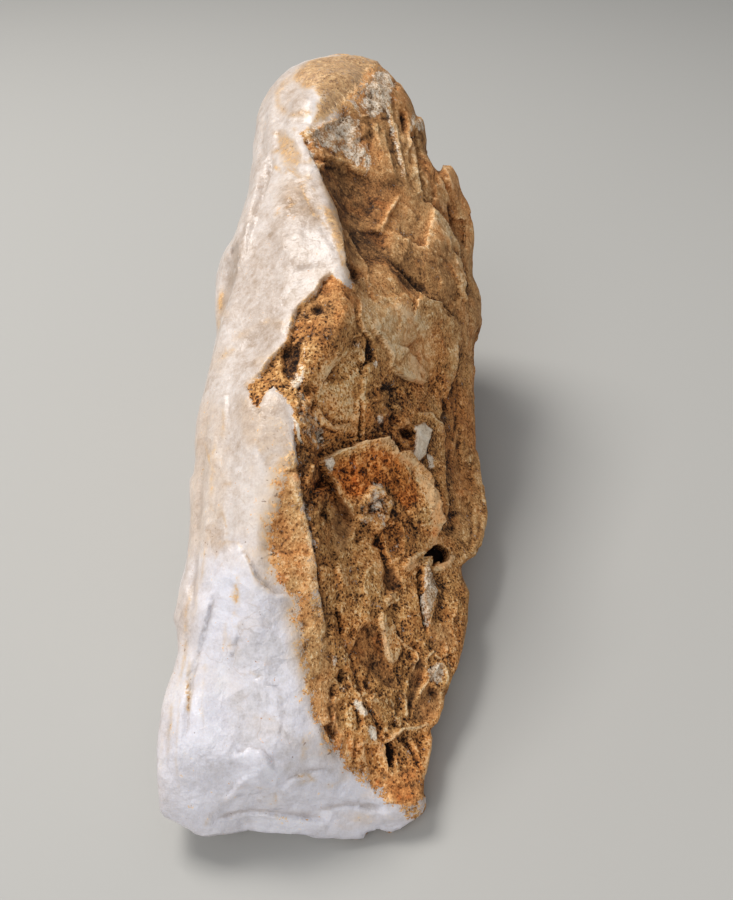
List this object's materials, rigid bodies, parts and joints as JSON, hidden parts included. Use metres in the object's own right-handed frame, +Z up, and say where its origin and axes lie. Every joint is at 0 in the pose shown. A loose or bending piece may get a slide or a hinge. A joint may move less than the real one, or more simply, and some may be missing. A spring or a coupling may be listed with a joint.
{
  "type": "raw quartz",
  "caption": "Rough lump of white vein quartz with a brown iron-stained crust down one side, lying on its flat underside as a mineral specimen or display stone.",
  "frame": {"origin": "middle of the footprint's bounding box, on the plane that the stone rests on", "axes": "+Z up, +Y from the low white end towards the high rounded end, +X towards the brown crust's side"},
  "size_m": [0.0696, 0.1818, 0.0992],
  "materials": {
    "quartz": "white quartz with a waxy fracture surface; rough brown iron-stained crust on one side"
  },
  "bodies": {
    "root": {"raw_quartz": "quartz"}
  },
  "joints": []
}
